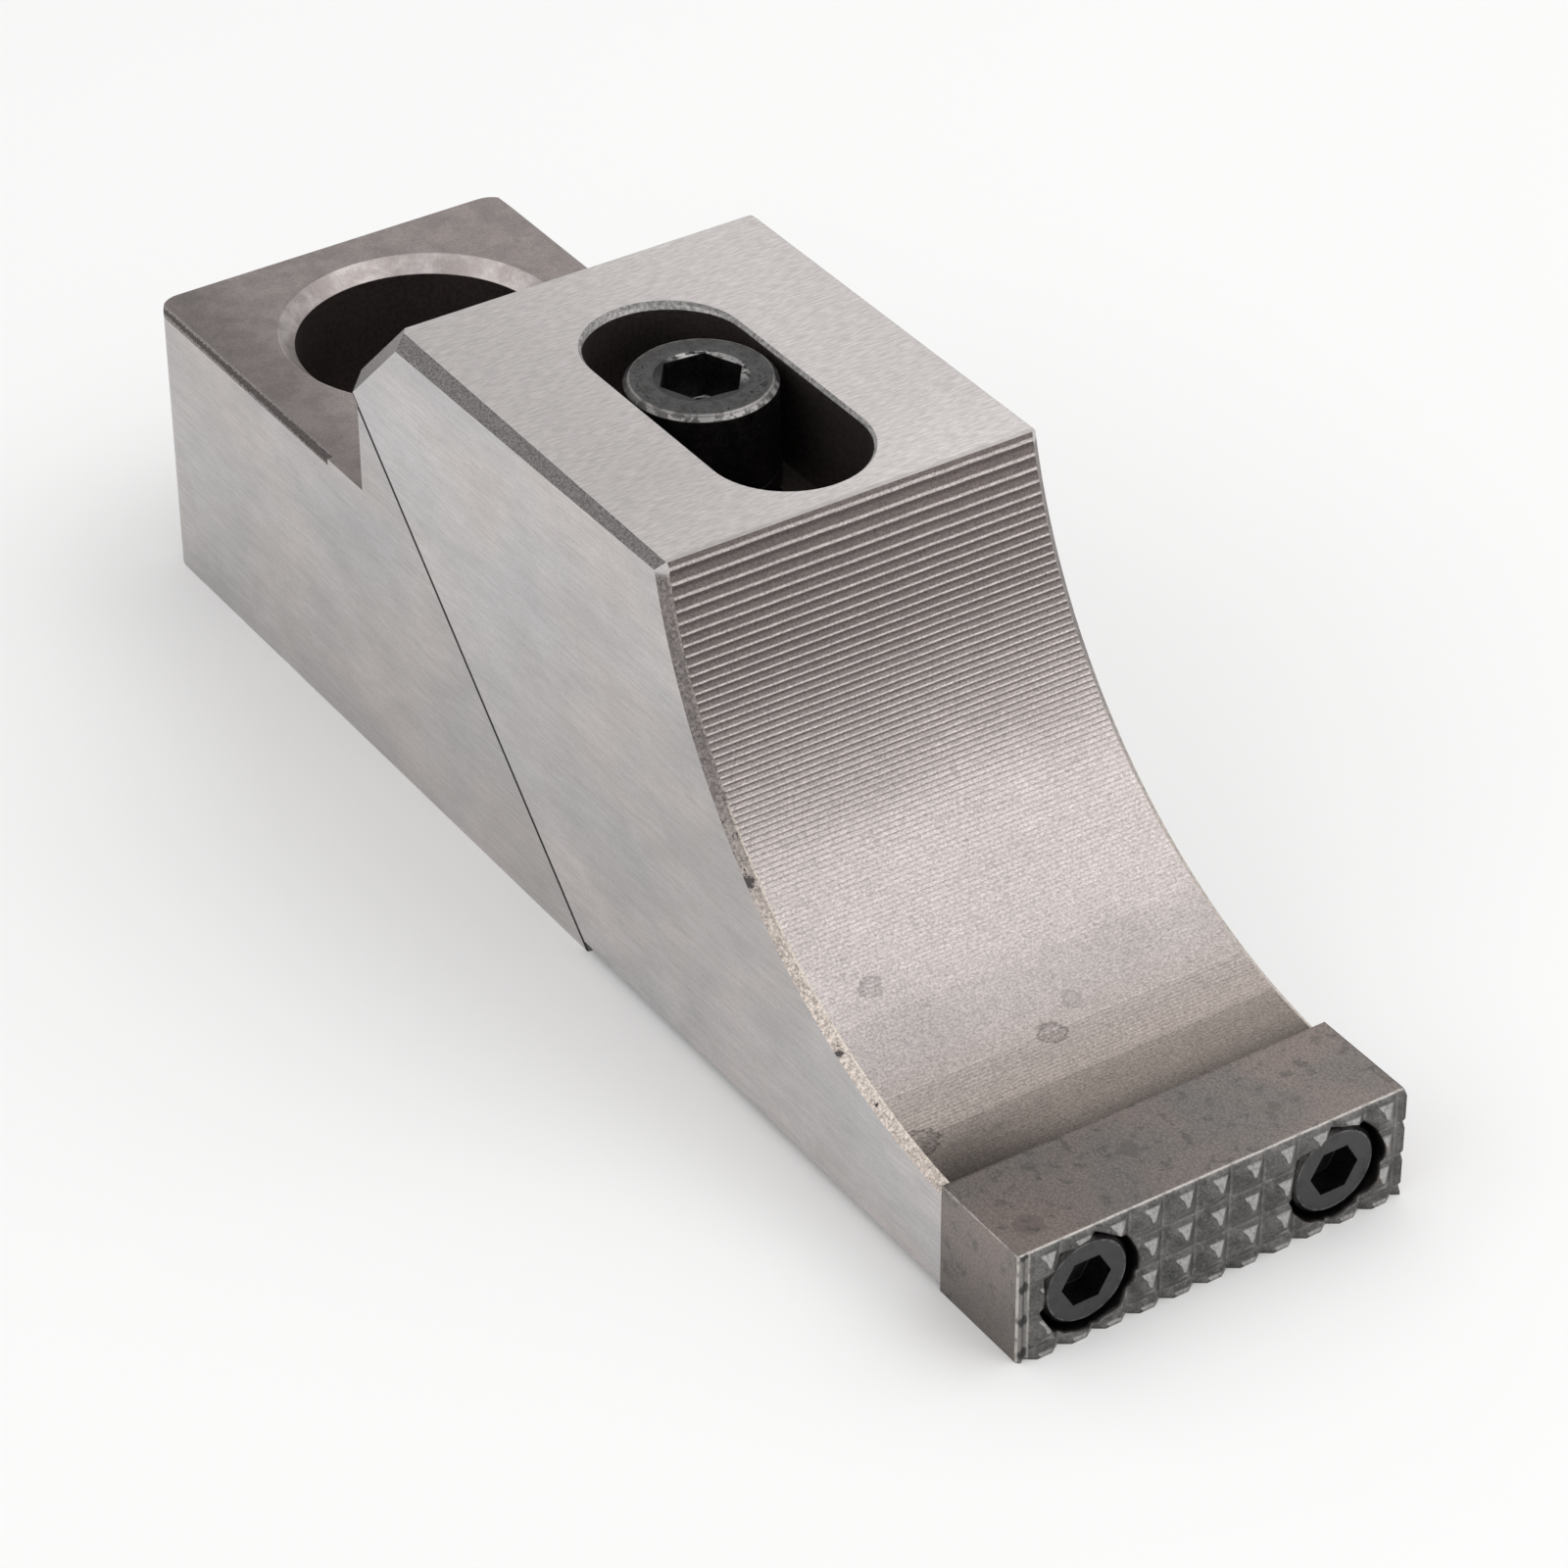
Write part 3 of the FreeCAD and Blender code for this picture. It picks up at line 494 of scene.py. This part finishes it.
    # The same painted shade in the seam as on the base
    seam_shade = graph.near(distance_from_ramp(graph), 0.05, 0.28)
    seam_shade = graph.both(seam_shade, graph.ramp(away, 0.3, 0.5))
    colour = graph.mix(seam_shade, colour, tone(0.03))

    rough = graph.blend(front, graph.blend(top, 0.46, 0.6), 0.5)
    rough = graph.add(rough, graph.vary(clouds, -0.03, 0.03))
    normal = graph.bump(streaks, 0.004)
    normal = graph.bump(brushed, 0.012, normal, graph.both(top, 0.7))
    normal = graph.bump(fine, 0.02, normal, graph.both(front, 0.7))
    normal = graph.bump(graph.math("MINIMUM", below, depth), 0.8, normal, rim)
    scallop = graph.size(graph.take(part, 0.5))
    normal = graph.bump(scallop, -0.03, normal, graph.both(front, graph.ramp(passes, 44, 52), 0.6))
    normal = graph.bump(pitted, -0.12, normal, graph.both(strip, 0.8))
    normal = graph.bump(grains, 0.05, normal, graph.both(bevels, 0.8))
    return graph.finish(colour, rough, normal)


def insert_material():
    graph = Graph("insert_patina_steel")
    broad = graph.noise(0.09, (1, 1, 1), 3, 0.55, bend=0.5)
    spots = graph.noise(0.6, (1, 1, 1), 4, 0.65, bend=0.3)
    grain = graph.noise(3.6, (1, 1, 1), 3, 0.7)
    brown = graph.mix(graph.ramp(broad, 0.32, 0.66), (0.205, 0.19, 0.18, 1), (0.25, 0.21, 0.195, 1))
    brown = graph.mix(graph.both(graph.ramp(spots, 0.54, 0.66), 0.6), brown, (0.11, 0.108, 0.1, 1))
    for place_x, place_y, width in ((139.9, -4.5, 1.2), (143.7, -18.9, 1.7), (142.4, 11.0, 0.9)):
        gap = graph.ragged(graph.take(graph.x, place_x), graph.take(graph.y, place_y), spots, 0.4)
        spot = graph.both(graph.ramp(gap, width, width - 0.3), graph.ramp(graph.nz, 0.7, 0.9),
                          graph.vary(grain, 0.08, 0.3))
        brown = graph.darker(brown, graph.take(1.0, spot))
    brown = graph.darker(brown, graph.vary(grain, 0.76, 1.24))
    brown = graph.darker(brown, graph.ramp(graph.y, -20, 20, 0.97, 1.2))
    # Painted shade: the sides grow darker toward the bottom
    side = graph.darker(brown, graph.ramp(graph.z, 0, 12, 0.85, 1.12))
    colour = graph.mix(graph.ramp(graph.nz, 0.7, 0.9), side, brown)

    # Toothed front: dark blunt flanks, thin paler lines along the grooves and small bright facets,
    # partly worn and partly a painted highlight
    ahead = graph.both(graph.ramp(graph.x, GROOVE_FLOOR_X - 0.35, GROOVE_FLOOR_X - 0.2),
                       graph.ramp(graph.nx, 0.1, 0.25))
    from_column = graph.add(graph.y, 10 * TOOTH_PITCH - FIRST_GROOVE_Y)
    column = graph.math("FRACT", graph.share(from_column, TOOTH_PITCH))
    from_row = graph.add(graph.z, 2 * TOOTH_PITCH - FIRST_GROOVE_Z)
    row = graph.math("FRACT", graph.share(from_row, TOOTH_PITCH))
    teeth = graph.mix(graph.ramp(spots, 0.35, 0.65), (0.095, 0.094, 0.092, 1), (0.165, 0.158, 0.153, 1))
    scuffs = graph.noise(2.2, (1, 1, 1), 4, 0.7)
    teeth = graph.darker(teeth, graph.vary(grain, 0.75, 1.25))
    teeth = graph.mix(graph.both(graph.ramp(scuffs, 0.56, 0.68), 0.5), teeth, (0.26, 0.25, 0.24, 1))
    grooves = graph.either(graph.near(column, 0.0, 0.05), graph.near(column, 1.0, 0.05),
                           graph.near(row, 0.0, 0.05), graph.near(row, 1.0, 0.05))
    teeth = graph.darker(teeth, graph.add(1.0, graph.times(grooves, 0.35)))

    # Painted light: flanks that face down or to the far side are paler
    painted_light_flanks = graph.either(graph.ramp(graph.ny, 0.25, 0.5), graph.ramp(graph.nz, -0.25, -0.5))
    teeth = graph.darker(teeth, graph.blend(painted_light_flanks, 1.0, 1.9))

    # One bright facet on the upper half of each tooth, around a small dark dome: partly wear and partly
    # a painted highlight where the facet faces up toward the light
    up = graph.take(row, 0.5)
    left = graph.take(column, graph.take(0.5, graph.times(up, 0.46)))
    right = graph.take(graph.add(0.55, graph.times(up, 0.71)), column)
    dome = graph.distance(graph.take(column, 0.3), graph.take(row, 0.62))
    worn_and_lit_facet = graph.both(graph.ramp(left, -0.01, 0.03), graph.ramp(right, -0.01, 0.03),
                        graph.ramp(up, 0.0, 0.04), graph.ramp(row, 0.87, 0.82),
                        graph.ramp(dome, 0.15, 0.19), graph.ramp(grain, 0.25, 0.5, 0.55, 1.0),
                        graph.ramp(scuffs, 0.4, 0.52, 0.6, 1.0))
    inner = graph.both(graph.ramp(graph.y, END_STRIP_Y - 0.1, END_STRIP_Y + 0.1),
                       graph.ramp(graph.y, 22.3, 22.1))
    teeth = graph.mix(graph.both(worn_and_lit_facet, inner, 0.92), teeth, (0.5, 0.485, 0.475, 1))
    colour = graph.mix(ahead, colour, teeth)

    # Flat strip at the near end: dark dips at the groove rows, thin worn lines beside it
    strip = graph.both(ahead, graph.ramp(graph.y, END_STRIP_Y + 0.15, END_STRIP_Y - 0.05))
    from_dip = graph.distance(graph.take(graph.size(graph.take(row, 0.5)), 0.5),
                              graph.times(graph.take(graph.y, END_STRIP_Y - 0.5), 0.25))
    dips = graph.ramp(from_dip, 0.2, 0.12)
    flat = graph.mix(dips, (0.24, 0.23, 0.22, 1), (0.07, 0.07, 0.068, 1))
    colour = graph.mix(strip, colour, graph.darker(flat, graph.vary(grain, 0.85, 1.15)))
    patchy = graph.noise(0.8, (1, 1, 1), 3, 0.6)
    worn = graph.ramp(patchy, 0.38, 0.55, 0.15, 1.0)
    front_line = graph.both(graph.near(graph.x, GROOVE_FLOOR_X - 0.02, 0.13),
                            graph.near(graph.z, INSERT_TOP, 0.16),
                            graph.ramp(grain, 0.3, 0.5, 0.35, 0.9))
    near_line = graph.both(graph.near(graph.y, -HALF_WIDTH, 0.15),
                           graph.near(graph.z, INSERT_TOP, 0.15), worn)
    corner_line = graph.both(graph.near(graph.y, -HALF_WIDTH, 0.2),
                             graph.near(graph.x, GROOVE_FLOOR_X, 0.2), worn)
    strip_line = graph.both(ahead, graph.near(graph.y, END_STRIP_Y, 0.12), worn)
    worn_lines = graph.either(front_line, near_line, corner_line, graph.times(strip_line, 0.5))
    colour = graph.mix(worn_lines, colour, (0.52, 0.49, 0.46, 1))

    # Dark counterbores: painted shade in the recesses around the insert's screws
    counterbore_shade = graph.both(graph.ramp(distance_from_small_screws(graph), 5.85, 5.65),
                       graph.ramp(graph.x, GROOVE_FLOOR_X + 0.9, GROOVE_FLOOR_X + 0.4))
    colour = graph.mix(counterbore_shade, colour, tone(0.035))
    rough = graph.add(graph.blend(ahead, 0.4, 0.36), graph.vary(spots, -0.03, 0.04))
    normal = graph.bump(grain, 0.02, graph.rounded(0.6), 0.7)
    normal = graph.bump(graph.ramp(dome, 0.28, 0.05), 0.25, normal, graph.both(ahead, inner, 0.5))
    return graph.finish(colour, rough, normal)


def screw_material():
    graph = Graph("black_oxide_steel")
    grain = graph.noise(3.0, (1, 1, 1), 4, 0.65)
    spots = graph.noise(0.9, (1, 1, 1), 4, 0.6)
    colour = graph.mix(graph.ramp(grain, 0.35, 0.7), tone(0.04, 0.02), tone(0.075, 0.04))

    # Clamp screw: paler face with a thin rim, partly wear and partly a painted highlight
    run = graph.take(graph.x, SCREW_X)
    gap = graph.distance(run, graph.y)
    upright = graph.both(graph.ramp(gap, HEAD_RADIUS + 1, HEAD_RADIUS + 0.6),
                         graph.ramp(graph.x, 70, 69))
    head = graph.both(upright, graph.ramp(graph.z, HEAD_SEAT, HEAD_SEAT + 0.2))
    face = graph.both(head, graph.ramp(graph.nz, 0.9, 0.97))
    paler = graph.both(face, graph.ramp(spots, 0.35, 0.6, 0.1, 0.95))
    colour = graph.mix(paler, colour, tone(0.105))
    dents = graph.both(face, graph.ramp(grain, 0.54, 0.6), graph.near(gap, HEAD_RADIUS - 1.6, 0.9),
                       graph.ramp(spots, 0.46, 0.52))
    colour = graph.mix(dents, colour, tone(0.015))
    # Painted light in the hexagon's mouth: painted shade inside it, and a painted highlight toward its
    # far side
    mouth = graph.both(face, graph.ramp(gap, 5.05, 4.85))
    lit = graph.both(graph.ramp(graph.take(graph.y, graph.times(run, 0.5)), 0.5, 3.0),
                     graph.ramp(spots, 0.4, 0.52))
    colour = graph.mix(mouth, colour, graph.mix(lit, tone(0.03), tone(0.34, 0.01)))
    rim = graph.both(head, graph.near(gap, HEAD_RADIUS - 0.5, 0.22),
                     graph.ramp(graph.z, HEAD_TOP - 0.3, HEAD_TOP - 0.05))
    worn = graph.both(rim, graph.ramp(spots, 0.36, 0.56, 0.3, 0.9))
    colour = graph.mix(worn, colour, tone(0.3, 0.02))
    # Chips along the outer edge, partly wear and partly a painted highlight, paler toward the front
    chips_and_highlight = graph.both(head, graph.near(gap, HEAD_RADIUS - 0.2, 0.25),
                       graph.ramp(spots, 0.48, 0.56, 0.15, 0.9), graph.ramp(graph.nz, 0.2, 0.4),
                       graph.ramp(run, -3, 5, 0.2, 0.9))
    colour = graph.mix(chips_and_highlight, colour, tone(0.34, 0.02))

    # Insert screws: paler faces and a faint rim
    small_face = graph.both(graph.ramp(graph.x, 135, 137), graph.ramp(graph.nx, 0.9, 0.97))
    paler = graph.both(small_face, graph.ramp(spots, 0.35, 0.6, 0.4, 1.0))
    colour = graph.mix(paler, colour, tone(0.078))
    small_rim = graph.both(small_face, graph.near(distance_from_small_screws(graph), 4.65, 0.3),
                           graph.ramp(spots, 0.42, 0.56))
    colour = graph.mix(small_rim, colour, tone(0.15, 0.02))

    # Relief: bevelled mouth of the clamp screw's hexagon, and the thread on its shank
    turn = graph.times(graph.math("ARCTAN2", graph.y, run), 1 / math.tau)
    thread = graph.math("PINGPONG", graph.add(graph.share(graph.z, THREAD_PITCH), turn), 0.5)
    shank = graph.both(upright, graph.ramp(graph.z, HEAD_SEAT - 2.2, HEAD_SEAT - 2.6),
                       graph.ramp(gap, 4.4, 4.7))
    normal = graph.bump(grain, 0.02, graph.rounded(0.15), 0.5)
    normal = graph.bump(graph.ramp(gap, 4.0, 5.0, smooth=False), 0.5, normal, mouth)
    normal = graph.bump(thread, 0.9, normal, shank)
    return graph.finish(colour, graph.vary(spots, 0.32, 0.45), normal)


def paint(name, material):
    mesh = nodes[name].data
    mesh.materials.clear()
    mesh.materials.append(material)


place_camera()
make_studio()
paint("base_block", base_material())
paint("jaw_block", jaw_material())
paint("gripper_insert", insert_material())
black = screw_material()
for name in ("clamp_screw", "clamp_washer", "insert_screw_near", "insert_screw_far"):
    paint(name, black)

bpy.context.scene.view_settings.view_transform = "Standard"
